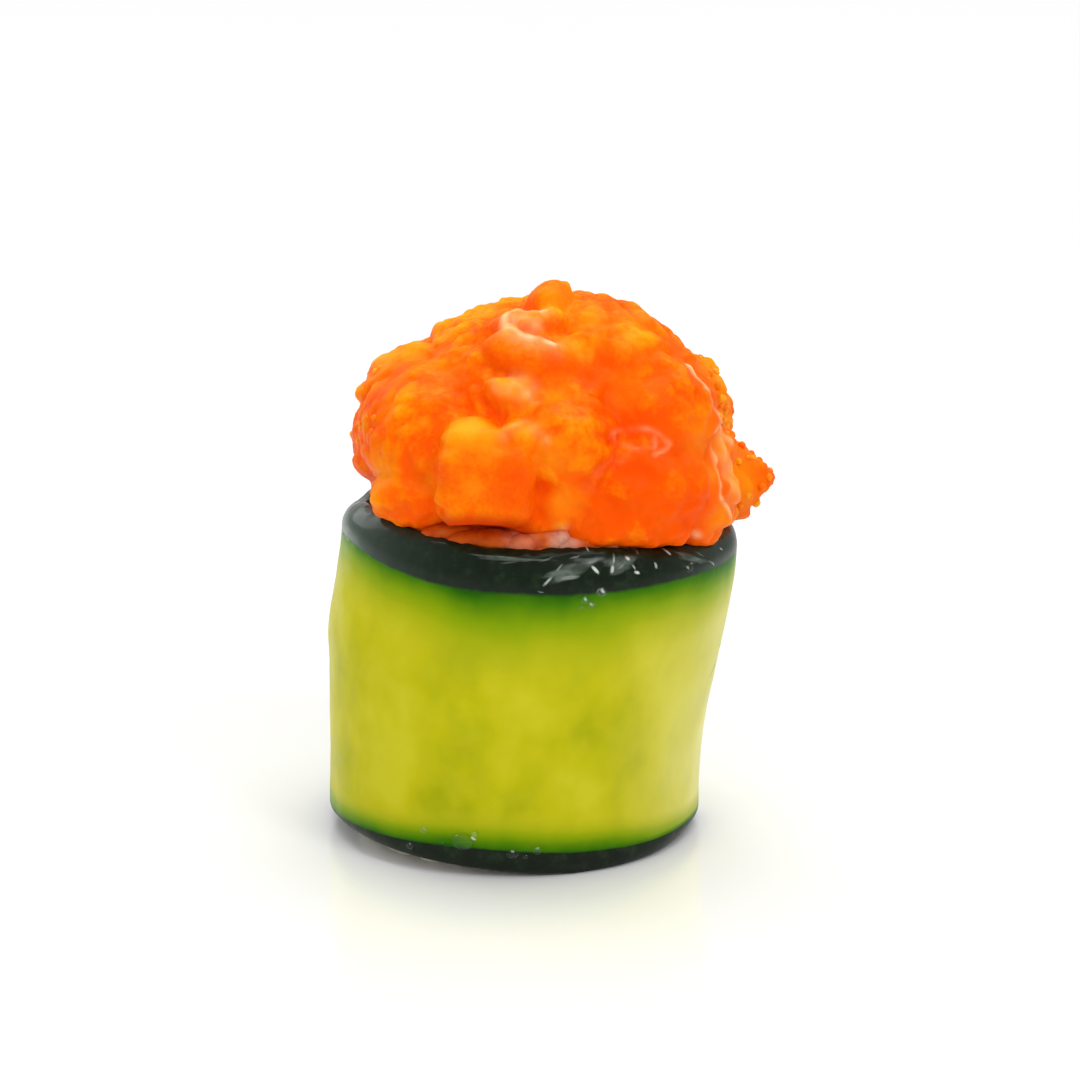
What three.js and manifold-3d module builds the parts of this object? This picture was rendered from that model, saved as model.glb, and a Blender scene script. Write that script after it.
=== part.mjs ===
// A gunkan sushi wrapped in a ribbon of cucumber, 52 mm tall.
// A core of pressed rice stands in a cucumber ribbon rolled once round it, and a mound of
// chopped seafood and fish roe in orange sauce is heaped on top.
// Millimetres, +Z up. The origin is the centre of the base, on the plane that it rests on.
// The front faces -Y, and the ribbon's outer end comes to rest on the right, at +X.
import * as THREE from 'three';
import { mergeVertices } from 'three/addons/utils/BufferGeometryUtils.js';
import Module from 'manifold-3d';

// The ribbon: a slice cut along a cucumber, stood on edge, with the skin left on both edges.
const BASE_RADIUS = 17.1;
const RIBBON_THICKNESS = 2.3;
const RIM_HEIGHT = 30.6;
const RIM_DROP = 1.5;
const LEFT_DIP = 2.0;
const RIM_SWELL = 0.7;
const TOP_SKIN = 3.5;
const TOP_SKIN_LEAST = 2.2;
const BOTTOM_SKIN = 2.15;
const BOTTOM_SKIN_LEAST = 0.5;
const BOTTOM_SKIN_INSET = 0.7;
const RIGHT_FLARE = 3.4;
const LEFT_LEAN = 1.3;
const HEEL_LIFT = 1.6;
const RIGHT_LIFT = 0.9;
const OUTER_END = THREE.MathUtils.degToRad(6);
const OVERLAP = THREE.MathUtils.degToRad(44);
const LAP_RUN = THREE.MathUtils.degToRad(58);
const INNER_END_RUN = THREE.MathUtils.degToRad(16);
const LAYER_GAP = 0.25;

// The rice: pressed core, with whole grains on the ring that shows inside the rim.
const GRAIN_LENGTH = 5.6;
const GRAIN_WIDTH = 2.5;
const RICE_BELOW_RIM = 0.4;
const RICE_CROWN = 0.4;
const RIM_GRAINS = 36;

// The topping: a heap of rounded lumps on the rice, with roe on its skin.
const HEAP_CENTRE = new THREE.Vector3(2.8, 0, 36);
const HEAP_REACH = 28;
const LUMP_BLEND = 1.0;
const CRAG_DEPTH = 0.28;
const ROE_DIAMETER = 1.05;
const ROE_SPACING = 1.15;

// The space kept between two pieces that touch.
const CLEARANCE = 0.3;

const wasm = await Module();
wasm.setup();

function smoothStep(low, high, value) {
  return THREE.MathUtils.smoothstep(value, low, high);
}

// A repeatable draw between 0 and 1.
function seededDraw(seed) {
  let state = seed;
  return () => {
    state = (state * 16807) % 2147483647;
    return state / 2147483647;
  };
}

function toSolid(geometry) {
  const bare = geometry.clone();
  bare.deleteAttribute('normal');
  bare.deleteAttribute('uv');
  const merged = mergeVertices(bare, 1e-4);
  return new wasm.Manifold(new wasm.Mesh({
    numProp: 3,
    vertProperties: new Float32Array(merged.attributes.position.array),
    triVerts: new Uint32Array(merged.index.array),
  }));
}

function toGeometry(solid) {
  const mesh = solid.getMesh();
  const geometry = new THREE.BufferGeometry();
  geometry.setAttribute('position', new THREE.BufferAttribute(mesh.vertProperties, 3));
  geometry.setIndex(new THREE.BufferAttribute(mesh.triVerts, 1));
  geometry.computeVertexNormals();
  return geometry;
}

// The largest connected body of a solid, without loose scraps.
function mainBody(solid) {
  const bodies = solid.decompose();
  return bodies.reduce((best, body) => (body.volume() > best.volume() ? body : best));
}

// A closed surface from a grid of points: rings of points, each ring closed on itself,
// and the first and last ring filled from their middles.
function ringsGeometry(rings) {
  const count = rings[0].length;
  const positions = rings.flat().flatMap((point) => point.toArray());
  const indices = [];
  for (let row = 0; row + 1 < rings.length; row += 1) {
    for (let column = 0; column < count; column += 1) {
      const next = (column + 1) % count;
      const a = row * count + column;
      const b = row * count + next;
      const c = (row + 1) * count + next;
      const d = (row + 1) * count + column;
      indices.push(a, b, c, a, c, d);
    }
  }
  [0, rings.length - 1].forEach((row) => {
    const middle = rings[row].reduce((sum, point) => sum.add(point), new THREE.Vector3());
    middle.divideScalar(count);
    const hub = positions.length / 3;
    positions.push(...middle.toArray());
    for (let column = 0; column < count; column += 1) {
      const a = row * count + column;
      const b = row * count + ((column + 1) % count);
      if (row === 0) indices.push(hub, b, a);
      else indices.push(hub, a, b);
    }
  });
  const geometry = new THREE.BufferGeometry();
  geometry.setAttribute('position', new THREE.Float32BufferAttribute(positions, 3));
  geometry.setIndex(indices);
  return geometry;
}

// --- the cucumber ribbon ---

// The radius of the outer face at an angle and a height: a drum that flares out on the right,
// leans in at the top on the left, and is a little uneven.
function drumRadius(angle, height) {
  const right = Math.max(0, Math.cos(angle)) ** 1.6;
  const left = Math.max(0, -Math.cos(angle)) ** 1.3;
  const uneven = 0.12 * Math.sin(3 * angle + 2.2) + 0.06 * Math.sin(5 * angle + height / 9);
  return BASE_RADIUS + uneven
    + RIGHT_FLARE * right * smoothStep(4, 29, height)
    - LEFT_LEAN * left * smoothStep(18, 29, height);
}

// The rim rises towards the left, dips behind the left end, and swells on the front right.
function rimHeight(angle) {
  const dip = Math.max(0, Math.cos(angle - THREE.MathUtils.degToRad(162))) ** 8;
  return RIM_HEIGHT - RIM_DROP * Math.cos(angle) - LEFT_DIP * dip + RIM_SWELL * rimSwell(angle);
}

function rimSwell(angle) {
  return Math.max(0, Math.cos(angle + THREE.MathUtils.degToRad(64))) ** 18;
}

// The band of skin along the rim is tallest on the front left, and grows with the swell.
function topSkin(angle) {
  const near = Math.max(0, Math.cos(angle + THREE.MathUtils.degToRad(115))) ** 3;
  return TOP_SKIN_LEAST + (TOP_SKIN - TOP_SKIN_LEAST) * near + 1.6 * RIM_SWELL * rimSwell(angle);
}

// The edge that stands on the plate is lifted on the front left.
function footHeight(angle) {
  const right = Math.max(0, Math.cos(angle + THREE.MathUtils.degToRad(6))) ** 7;
  return HEEL_LIFT * Math.max(0, Math.cos(angle - THREE.MathUtils.degToRad(200))) ** 1.2
    + RIGHT_LIFT * right;
}

// The band of skin along the foot is tallest at the front and at the back.
function bottomSkin(angle) {
  const near = Math.abs(Math.cos(angle + THREE.MathUtils.degToRad(82))) ** 1.7;
  return BOTTOM_SKIN_LEAST + (BOTTOM_SKIN - BOTTOM_SKIN_LEAST) * near;
}

// How far a layer lies inside the drum, after a turn measured from the outer end: the last of
// the ribbon slides under its own outer end.
function layerInset(turn) {
  const full = 2 * Math.PI;
  return (RIBBON_THICKNESS + LAYER_GAP) * smoothStep(full - LAP_RUN, full - 0.04, turn);
}

// How far the innermost layer lies inside the drum at an angle.
function innerInset(angle) {
  const turn = THREE.MathUtils.euclideanModulo(OUTER_END - angle, 2 * Math.PI);
  const pastEnd = 1 - smoothStep(OVERLAP, OVERLAP + INNER_END_RUN, turn);
  return Math.max(layerInset(turn), (RIBBON_THICKNESS + LAYER_GAP) * pastEnd);
}

// The ribbon's cross-section at an angle, as pairs of depth and height: the flesh face, the
// rounded band of skin above it, the inner face, and the band of skin that it stands on.
function ribbonSection(angle, growth) {
  const thick = RIBBON_THICKNESS;
  const rim = rimHeight(angle);
  const foot = footHeight(angle);
  const skin = topSkin(angle);
  const lowSkin = bottomSkin(angle);
  const bandTop = Array.from({ length: 5 }, (_, step) => {
    const bend = THREE.MathUtils.degToRad(82) * (step / 4);
    return [thick * (1 - Math.cos(bend)), rim - skin * (1 - Math.sin(bend))];
  });
  const bandFoot = Array.from({ length: 3 }, (_, step) => {
    const bend = Math.PI / 2 * (step / 2);
    return [BOTTOM_SKIN_INSET * (1 - Math.sin(bend)), foot + lowSkin * (1 - Math.cos(bend))];
  });
  const section = [
    ...bandFoot,
    [0, foot + 9.5], [0, foot + 17], [0, rim - 8],
    ...bandTop,
    [thick, rim - 0.25], [thick, rim - 9], [thick, foot + 9], [thick, foot + 0.2],
  ];
  if (growth === 0) return section;
  return section.map(([depth, height]) => {
    const outward = depth < thick / 2 ? -growth : growth;
    const upward = height > RIM_HEIGHT / 2 ? growth : -growth;
    return [depth + outward, height + upward];
  });
}

// The ribbon as one solid, or the same grown on all sides to cut room for it.
function ribbonGeometry(growth = 0) {
  const steps = 84;
  const sweep = 2 * Math.PI + OVERLAP;
  const rings = [];
  for (let step = 0; step <= steps; step += 1) {
    const turn = sweep * (step / steps);
    const angle = OUTER_END - turn;
    rings.push(ribbonSection(angle, growth).map(([depth, height]) => {
      const radius = drumRadius(angle, height) - layerInset(turn) - depth;
      return new THREE.Vector3(radius * Math.cos(angle), radius * Math.sin(angle), height);
    }));
  }
  return ringsGeometry(rings);
}

// --- the rice ---

// The core fills the drum as far as the middle of the ribbon, which then cuts its room from it.
function riceCoreGeometry() {
  const around = 64;
  const floors = [0, 8, 16, 24, 1];
  const rings = floors.map((floor, index) => Array.from({ length: around }, (_, column) => {
    const angle = 2 * Math.PI * (column / around);
    const top = index === floors.length - 1;
    const height = top ? rimHeight(angle) - RICE_BELOW_RIM : floor;
    const radius = drumRadius(angle, height) - innerInset(angle) - RIBBON_THICKNESS * 0.6;
    return new THREE.Vector3(radius * Math.cos(angle), radius * Math.sin(angle), height);
  }));
  const crown = [0.72, 0.4].map((share) => Array.from({ length: around }, (_, column) => {
    const edge = rings[floors.length - 1][column];
    return new THREE.Vector3(edge.x * share, edge.y * share, edge.z + RICE_CROWN * (1 - share));
  }));
  return ringsGeometry([...rings, ...crown]);
}

// One grain, with its length along its own X.
function grainGeometry(length, width) {
  const grain = new THREE.SphereGeometry(1, 6, 4);
  grain.rotateZ(Math.PI / 2);
  grain.scale(length / 2, width / 2, width / 2.2);
  return grain;
}

// Grains lying every way on the ring between the topping and the rim.
function rimGrains() {
  const draw = seededDraw(71);
  return Array.from({ length: RIM_GRAINS }, (_, index) => {
    const angle = 2 * Math.PI * ((index + 0.6 * draw()) / RIM_GRAINS);
    const row = index % 2;
    const length = GRAIN_LENGTH * (0.85 + 0.25 * draw());
    const grain = grainGeometry(length, GRAIN_WIDTH * (0.9 + 0.2 * draw()));
    grain.rotateY((draw() - 0.5) * 0.7);
    grain.rotateZ(angle + Math.PI / 2 + (draw() - 0.5) * (row ? 2.2 : 0.9));
    const inner = drumRadius(angle, RIM_HEIGHT) - innerInset(angle) - RIBBON_THICKNESS;
    const radius = inner - 0.9 - 1.7 * row;
    const height = rimHeight(angle) - 0.1 + 0.6 * draw();
    grain.translate(radius * Math.cos(angle), radius * Math.sin(angle), height);
    return grain;
  });
}

// --- the topping ---

// Each lump is its place, its three half sizes, its roll about Y, and how boxy it is: 2 for an
// ellipsoid, which is left out, and more for squarer sides.
const LUMPS = {
  heart: [3.0, 0.4, 37.8, 14.7, 12.6, 11.7, 0],
  base: [2.6, 0.2, 32.6, 15.4, 14.3, 5.8, 0],
  leftCrown: [-8.5, -0.6, 41.0, 5.5, 6.6, 4.6, 0.3],
  leftShoulder: [-7.4, -4.0, 38.7, 6.7, 7.8, 6.1, 0.3],
  leftCheek: [-10.4, 1.2, 36.2, 4.5, 6.0, 4.7, 0],
  leftFoot: [-8.2, -8.6, 33.8, 4.8, 4.3, 3.2, 0],
  chunk: [-2.4, -12.3, 36.3, 4.6, 4.2, 4.0, 0.04, 4],
  chunkDome: [-3.6, -12.7, 39.4, 2.9, 3.0, 2.5, 0.1, 2.6],
  chunkRidge: [1.0, -12.4, 39.9, 2.6, 2.6, 1.8, -0.5, 2.6],
  middle: [4.9, -10.8, 39.4, 4.6, 5.2, 4.7, -0.2],
  middleFoot: [5.0, -12.2, 34.2, 3.5, 3.0, 3.5, 0.1],
  frontFoot: [8.6, -11.0, 32.0, 7.0, 3.4, 2.7, 0.02],
  peach: [0.2, -8.9, 43.7, 3.0, 2.2, 1.3, -0.4],
  roll: [1.9, -6.7, 46.3, 4.6, 3.0, 2.1, -0.25],
  fold: [1.6, -4.1, 48.4, 3.4, 2.4, 1.4, 0.05],
  apex: [3.4, -0.4, 49.2, 2.1, 2.6, 2.7, 0],
  apexRight: [6.6, -0.6, 48.0, 2.4, 2.8, 2.0, -0.4],
  crest: [10.9, -1.2, 44.3, 7.7, 7.2, 4.2, -0.66],
  rightShoulder: [14.9, -0.8, 40.4, 4.6, 5.0, 4.6, -0.4],
  rightBrow: [12.8, -4.0, 39.8, 6.2, 7.2, 6.3, -0.5],
  rightBack: [14.6, 2.4, 37.7, 5.5, 6.0, 5.4, -0.4],
  rightCheek: [11.8, -9.5, 34.8, 6.0, 4.9, 4.8, 0.2],
  rightToe: [12.2, -9.9, 31.8, 4.4, 3.5, 2.6, 0.05],
  rightFoot: [15.6, -5.0, 32.5, 4.8, 5.9, 4.6, 0.1],
  rightFlap: [16.6, -3.4, 36.4, 3.5, 4.6, 3.6, 0],
  rightRoe: [19.3, 2.2, 31.9, 3.8, 3.8, 3.8, 0.3],
  rightRoeTip: [22.2, 1.6, 32.2, 1.8, 1.9, 1.7, 0],
  backLeft: [-5.2, 8.6, 38.4, 6.4, 5.4, 5.6, 0.2],
  backLeftFoot: [-6.4, 10.2, 33.6, 4.2, 4.0, 3.4, 0],
  backMiddle: [2.6, 12.0, 37.2, 4.8, 3.9, 4.6, -0.1],
  backCap: [-1.2, 6.6, 42.2, 4.4, 4.2, 2.8, 0.3],
  backRight: [9.4, 9.8, 38.0, 5.4, 5.0, 5.4, -0.3],
  backRightFoot: [10.6, 10.6, 33.4, 4.4, 3.8, 3.2, 0],
  backCrest: [6.8, 5.6, 45.2, 4.8, 4.4, 3.4, -0.4],
};

// The hollow under the chunk where the rice shows over the rim.
const RICE_WINDOW = [-3.3, -17.2, 29.8, 6.9, 5.8, 3.5, 0];

function lumpDistance(point, [x, y, z, halfX, halfY, halfZ, roll, boxiness = 2]) {
  const across = point.x - x;
  const up = point.z - z;
  const turnedX = across * Math.cos(roll) + up * Math.sin(roll);
  const turnedZ = up * Math.cos(roll) - across * Math.sin(roll);
  const halves = [halfX, halfY, halfZ];
  const local = [turnedX, point.y - y, turnedZ].map((offset, axis) => Math.abs(offset) / halves[axis]);
  const near = Math.max(local.reduce((sum, part) => sum + part ** boxiness, 0), 1e-9) ** (1 / boxiness);
  const slopes = local.map((part, axis) => part ** (boxiness - 1) / halves[axis]);
  const steep = Math.hypot(...slopes) / near ** (boxiness - 1);
  return (near - 1) / Math.max(steep, 1e-6);
}

function blend(a, b, width) {
  const share = Math.max(width - Math.abs(a - b), 0) / width;
  return Math.min(a, b) - share * share * width / 4;
}

// Low crags left by the chopping.
function crags(point) {
  const broad = Math.sin(point.x * 0.9 + 1.1 * Math.sin(point.z * 0.7)) * Math.sin(point.z + point.y);
  const fine = Math.sin(point.y * 1.7 + point.x * 0.8 + 2) * Math.sin(point.z * 1.9 - point.x);
  return CRAG_DEPTH * (0.6 * broad + 0.4 * fine);
}

// The distance from a point to the skin of the heap, less than zero inside it.
function heapDistance(point) {
  const heap = Object.values(LUMPS).reduce(
    (distance, lump) => blend(distance, lumpDistance(point, lump), LUMP_BLEND),
    HEAP_REACH,
  );
  return Math.max(heap + crags(point), -lumpDistance(point, RICE_WINDOW));
}

// The skin of the heap along a direction from its centre, found by stepping inwards, or the
// place where the heap is still a little way off.
function heapSurface(direction, growth = 0) {
  let reach = HEAP_REACH;
  const point = new THREE.Vector3();
  for (let step = 0; step < 60; step += 1) {
    point.copy(direction).multiplyScalar(reach).add(HEAP_CENTRE);
    const distance = heapDistance(point) - growth;
    if (distance < 0.01) break;
    reach -= distance * 0.7;
  }
  return point;
}

function heapGeometry(growth = 0) {
  const ball = new THREE.IcosahedronGeometry(1, 13);
  ball.deleteAttribute('normal');
  ball.deleteAttribute('uv');
  const geometry = mergeVertices(ball, 1e-4);
  const positions = geometry.attributes.position;
  for (let index = 0; index < positions.count; index += 1) {
    const direction = new THREE.Vector3().fromBufferAttribute(positions, index).normalize();
    const point = heapSurface(direction, growth);
    positions.setXYZ(index, point.x, point.y, point.z);
  }
  return geometry;
}

// Where roe shows on the heap: the bearing and the lift of the middle of each patch as seen
// from the heap's centre, and how many beads lie in it.
const ROE_PATCHES = [
  [182, 8, 26],
  [5, -9, 30],
  [118, 14, 16],
  [48, 26, 14],
];

// Beads half sunk in the skin of the heap, each patch filled outwards by the golden angle.
function roeBeads() {
  const draw = seededDraw(29);
  const golden = Math.PI * (3 - Math.sqrt(5));
  return ROE_PATCHES.flatMap(([bearing, lift, count]) => Array.from({ length: count }, (_, index) => {
    const reach = ROE_SPACING * Math.sqrt(index + 0.3 * draw());
    const spin = index * golden;
    const direction = new THREE.Vector3(18, reach * Math.cos(spin), reach * Math.sin(spin));
    direction.applyAxisAngle(new THREE.Vector3(0, 1, 0), -THREE.MathUtils.degToRad(lift));
    direction.applyAxisAngle(new THREE.Vector3(0, 0, 1), THREE.MathUtils.degToRad(bearing));
    const place = heapSurface(direction.normalize());
    const bead = new THREE.IcosahedronGeometry(ROE_DIAMETER / 2, 0);
    bead.rotateX(draw() * 3);
    bead.rotateZ(draw() * 3);
    bead.translate(place.x, place.y, place.z);
    return bead;
  }));
}

// --- the solids ---

const ribbonRoom = toSolid(ribbonGeometry(CLEARANCE));

// The grains end where the topping lies on them.
function makeRice() {
  const heapRoom = toSolid(heapGeometry(1.3 * CLEARANCE));
  const grains = rimGrains().map((grain) => toSolid(grain).subtract(heapRoom));
  const whole = grains.reduce((solid, grain) => solid.add(grain), toSolid(riceCoreGeometry()));
  return mainBody(whole.subtract(ribbonRoom));
}

function makeTopping() {
  const whole = roeBeads().reduce((solid, bead) => solid.add(toSolid(bead)), toSolid(heapGeometry()));
  const bed = riceCoreGeometry();
  bed.scale(1.2, 1.2, 1);
  bed.translate(0, 0, CLEARANCE);
  return mainBody(whole.subtract(toSolid(bed)).subtract(ribbonRoom));
}

function piece(name, geometry, color, roughness) {
  const material = new THREE.MeshStandardMaterial({ color, roughness, metalness: 0 });
  const mesh = new THREE.Mesh(geometry, material);
  mesh.name = name;
  return mesh;
}

const sushi = new THREE.Group();
sushi.add(
  piece('cucumber_wrap', ribbonGeometry(), 0xa9b62a, 0.3),
  piece('rice', toGeometry(makeRice()), 0xefe6d2, 0.5),
  piece('topping', toGeometry(makeTopping()), 0xf96a12, 0.35),
);

export default sushi;
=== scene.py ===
"""The looks of a gunkan sushi: a cucumber ribbon rolled round pressed rice, heaped with chopped
seafood and fish roe in orange sauce.

Shapes are worked out in millimetres in the part's own frame, +Z up and the front at -Y, and
become metres when a mesh is made."""
import math

import bpy
import numpy as np
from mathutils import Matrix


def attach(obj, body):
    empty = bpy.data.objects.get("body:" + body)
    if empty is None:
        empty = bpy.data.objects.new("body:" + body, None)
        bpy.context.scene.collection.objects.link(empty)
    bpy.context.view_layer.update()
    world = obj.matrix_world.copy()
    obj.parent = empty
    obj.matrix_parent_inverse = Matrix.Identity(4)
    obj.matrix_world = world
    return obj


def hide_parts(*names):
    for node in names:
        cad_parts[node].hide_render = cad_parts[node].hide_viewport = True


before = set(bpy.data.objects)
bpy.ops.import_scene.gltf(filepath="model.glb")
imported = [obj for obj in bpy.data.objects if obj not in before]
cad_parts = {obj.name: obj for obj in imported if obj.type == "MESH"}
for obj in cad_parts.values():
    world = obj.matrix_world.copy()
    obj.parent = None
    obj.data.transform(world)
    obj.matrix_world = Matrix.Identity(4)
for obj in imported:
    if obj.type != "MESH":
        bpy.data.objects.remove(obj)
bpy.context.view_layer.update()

MM = 0.001
FULL_TURN = 2 * math.pi
GOLDEN_ANGLE = math.pi * (3 - math.sqrt(5))

# The ribbon: a slice cut along a cucumber, stood on edge, with the skin left on both edges.
BASE_RADIUS = 17.1
RIBBON_THICKNESS = 2.3
RIM_HEIGHT = 30.6
RIM_DROP = 1.5
LEFT_DIP = 2.0
RIM_SWELL = 0.7
TOP_SKIN = 3.5
TOP_SKIN_LEAST = 2.2
BOTTOM_SKIN = 2.15
BOTTOM_SKIN_LEAST = 0.5
BOTTOM_SKIN_INSET = 0.7
RIGHT_FLARE = 3.4
LEFT_LEAN = 1.3
HEEL_LIFT = 1.6
RIGHT_LIFT = 0.9
OUTER_END = math.radians(6)
OVERLAP = math.radians(44)
LAP_RUN = math.radians(58)
INNER_END_RUN = math.radians(16)
LAYER_STEP = RIBBON_THICKNESS + 0.25
CROSS_STEPS = 6
GREENEST_BEARING = 275

# The rice. Its core stops short of its grains by a margin at the top and at the bottom.
GRAIN_LENGTH = 5.6
GRAIN_WIDTH = 2.5
RICE_BELOW_RIM = 0.4
RICE_CROWN = 0.4
RICE_MARGIN = 0.5
SIDE_GAP = 0.3

# The topping.
HEAP_CENTRE = np.array([2.8, 0.0, 36.0])
HEAP_REACH = 28.0
LUMP_BLEND = 0.6
CRAG_DEPTH = 0.28
ROE_DIAMETER = 0.95

# The lattice of the noise: its steps along X, Y and Z and from seed to seed, the multiple of a
# sine whose part after the point is taken, and how far a seed shifts the noise and the beads.
LATTICE_STEPS = np.array([12.9898, 78.233, 37.719])
SEED_STEP = 4.1
SINE_MULTIPLE = 43758.5453
NOISE_SHIFT = 31.7
NOISE_GAIN = 1.6
BEAD_SHIFT = 17.9


# --- numbers and meshes ---

def smooth_step(low, high, value):
    """0 below low, 1 above high, and 3t*t - 2t*t*t between them."""
    share = np.clip((value - low) / (high - low), 0, 1)
    return share * share * (3 - 2 * share)


def bell(value, middle, width, power=2):
    """1 at the middle, falling off on both sides: the exponential of less a power of the offset
    over the width."""
    return np.exp(-((value - middle) / width) ** power)


def quarter_round(share):
    """How far a quarter round has sunk at a share of its run: 1 less the root of 1 - s*s."""
    return 1 - np.sqrt(1 - share * share)


def lattice_value(key, seed):
    """A repeatable number from 0 to 1 for each corner of a cubic lattice: the part after the
    point of a large multiple of a sine."""
    mixed = key @ LATTICE_STEPS + SEED_STEP * seed
    return np.modf(np.abs(np.sin(mixed)) * SINE_MULTIPLE)[0]


def soft_noise(points, cell, seed):
    """Smooth noise from about -1 to 1: each corner of the lattice has a slope of its own, and
    the eight slopes' heights at a point are blended by the curve of a smooth step."""
    place = points / cell + NOISE_SHIFT * seed
    low = np.floor(place)
    share = place - low
    curve = smooth_step(0, 1, share)
    total = np.zeros(len(points))
    for corner in np.ndindex(2, 2, 2):
        weight = np.where(corner, curve, 1 - curve).prod(axis=1)
        slope = np.stack([lattice_value(low + corner, seed + 0.37 * axis) for axis in range(3)])
        total += weight * ((2 * slope.T - 1) * (share - corner)).sum(axis=1)
    return NOISE_GAIN * total


def bead_relief(points, cell, seed):
    """Round bumps from 0 to 1, one in each cell of a cubic lattice: the square root of one
    less the squared distance to the nearest bump's middle over the bump's squared radius."""
    radius, spread = 0.6, 0.6
    place = points / cell + BEAD_SHIFT * seed
    low = np.floor(place)
    nearest = np.full(len(points), 9.0)
    for step in np.ndindex(3, 3, 3):
        key = low + np.array(step) - 1
        jitter = np.stack([lattice_value(key, seed + axis) for axis in range(3)], axis=1)
        gap = place - key - (1 - spread) / 2 - spread * jitter
        nearest = np.minimum(nearest, (gap * gap).sum(axis=1))
    return np.sqrt(np.clip(1 - nearest / radius ** 2, 0, 1))


def side_by_side(*columns):
    """Arrays or single numbers, spread to one shape, as the last axis of one array."""
    return np.stack(np.broadcast_arrays(*columns), axis=-1)


def round_axis(radius, angle, height):
    """Points at a radius and an angle about the upright axis, and at a height."""
    return side_by_side(radius * np.cos(angle), radius * np.sin(angle), height)


def full_ring(count):
    """Angles evenly spaced once round, as a row."""
    return np.linspace(0, FULL_TURN, count, endpoint=False)[None, :]


def bearing_of(points):
    """The points' bearings about the upright axis, in radians from the right."""
    return np.arctan2(points[:, 1], points[:, 0])


def quads(index):
    """Four-sided faces between neighbours in a grid of point numbers."""
    corners = [index[:-1, :-1], index[:-1, 1:], index[1:, 1:], index[1:, :-1]]
    return np.stack(corners, axis=-1).reshape(-1, 4)


def ring_faces(rows, columns):
    """Four-sided faces between closed rings of points, numbered ring by ring."""
    index = np.arange(rows * columns).reshape(rows, columns)
    return quads(np.concatenate([index, index[:, :1]], axis=1))


def close_poles(rings):
    """Closed rings of points made whole: a point at the middle of the first ring and of the
    last, each joined to its ring by four-sided faces that take its points two at a time."""
    rows, columns = rings.shape[:2]
    poles = np.stack([rings[0].mean(axis=0), rings[-1].mean(axis=0)])
    first, base = rows * columns, (rows - 1) * columns
    step = np.arange(0, columns, 2)
    after = (step + 2) % columns
    start = side_by_side(first, after, step + 1, step)
    finish = side_by_side(first + 1, base + step, base + step + 1, base + after)
    faces = np.concatenate([ring_faces(rows, columns), start, finish])
    return np.concatenate([rings.reshape(-1, 3), poles]), faces


def link_object(name, data):
    thing = bpy.data.objects.new(name, data)
    bpy.context.scene.collection.objects.link(thing)
    return thing


def make_piece(name, points, faces, material, values=None):
    """A mesh in metres from points in millimetres, with numbers kept at its points."""
    mesh = bpy.data.meshes.new(name)
    mesh.from_pydata(np.asarray(points) * MM, [], faces)
    mesh.validate()
    for title, numbers in (values or {}).items():
        kept = mesh.attributes.new(title, "FLOAT", "POINT")
        kept.data.foreach_set("value", np.asarray(numbers, dtype=np.float32).ravel())
    mesh.shade_smooth()
    mesh.materials.append(material)
    piece = link_object(name, mesh)
    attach(piece, "root")
    return piece


# --- shader nodes ---

def srgb(red, green, blue):
    """A screen colour from 0 to 255 as the linear colour that shaders use."""
    share = np.array([red, green, blue]) / 255
    linear = np.where(share <= 0.04045, share / 12.92, ((share + 0.055) / 1.055) ** 2.4)
    return (*linear.tolist(), 1.0)


def add_node(tree, kind, sockets=None, **settings):
    """One shader node, with its settings, and a value or a link for each socket, which goes by
    its name or its number."""
    made = tree.nodes.new(kind)
    for title, value in settings.items():
        setattr(made, title, value)
    for key, value in (sockets or {}).items():
        if isinstance(value, bpy.types.NodeSocket):
            tree.links.new(value, made.inputs[key])
        else:
            made.inputs[key].default_value = value
    return made


def start_material(name):
    """A material with nothing in its node tree, and the tree."""
    material = bpy.data.materials.new(name)
    material.use_nodes = True
    material.node_tree.nodes.clear()
    return material, material.node_tree


def finish_material(material, sockets):
    """The material, once its shader and its output are in."""
    shader = add_node(material.node_tree, "ShaderNodeBsdfPrincipled", sockets)
    add_node(material.node_tree, "ShaderNodeOutputMaterial", {"Surface": shader.outputs["BSDF"]})
    return material


def object_place(tree):
    return add_node(tree, "ShaderNodeTexCoord").outputs["Object"]


def kept_value(tree, title):
    return add_node(tree, "ShaderNodeAttribute", attribute_name=title).outputs["Fac"]


# The helpers below add to the tree of the first socket that they are given.

def add_noise(place, size, detail=3.0, roughness=0.6, stretch=(1, 1, 1)):
    """Noise whose features are about size millimetres across, drawn out by stretch."""
    scale = [1 / (MM * size * part) for part in stretch]
    placed = add_node(place.id_data, "ShaderNodeMapping", {"Vector": place, "Scale": scale})
    return add_node(place.id_data, "ShaderNodeTexNoise", {
        "Vector": placed.outputs["Vector"], "Scale": 1.0, "Detail": detail,
        "Roughness": roughness}).outputs["Fac"]


def calc(operation, *values):
    return add_node(values[0].id_data, "ShaderNodeMath", dict(enumerate(values)),
                    operation=operation).outputs["Value"]


def remap(value, low, high, to_low=0.0, to_high=1.0):
    return add_node(value.id_data, "ShaderNodeMapRange", {
        "Value": value, "From Min": low, "From Max": high,
        "To Min": to_low, "To Max": to_high}).outputs["Result"]


def mix_colours(share, first, second):
    return add_node(share.id_data, "ShaderNodeMix", {0: share, 6: first, 7: second},
                    data_type="RGBA").outputs[2]


def colour_ramp(value, *stops):
    """Colours along a value, each stop a place from 0 to 1 and a screen colour."""
    ramp = add_node(value.id_data, "ShaderNodeValToRGB", {"Fac": value})
    elements = ramp.color_ramp.elements
    while len(elements) < len(stops):
        elements.new(0.5)
    for element, (place, *colour) in zip(elements, stops):
        element.position = place
        element.color = srgb(*colour)
    return ramp.outputs["Color"]


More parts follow.
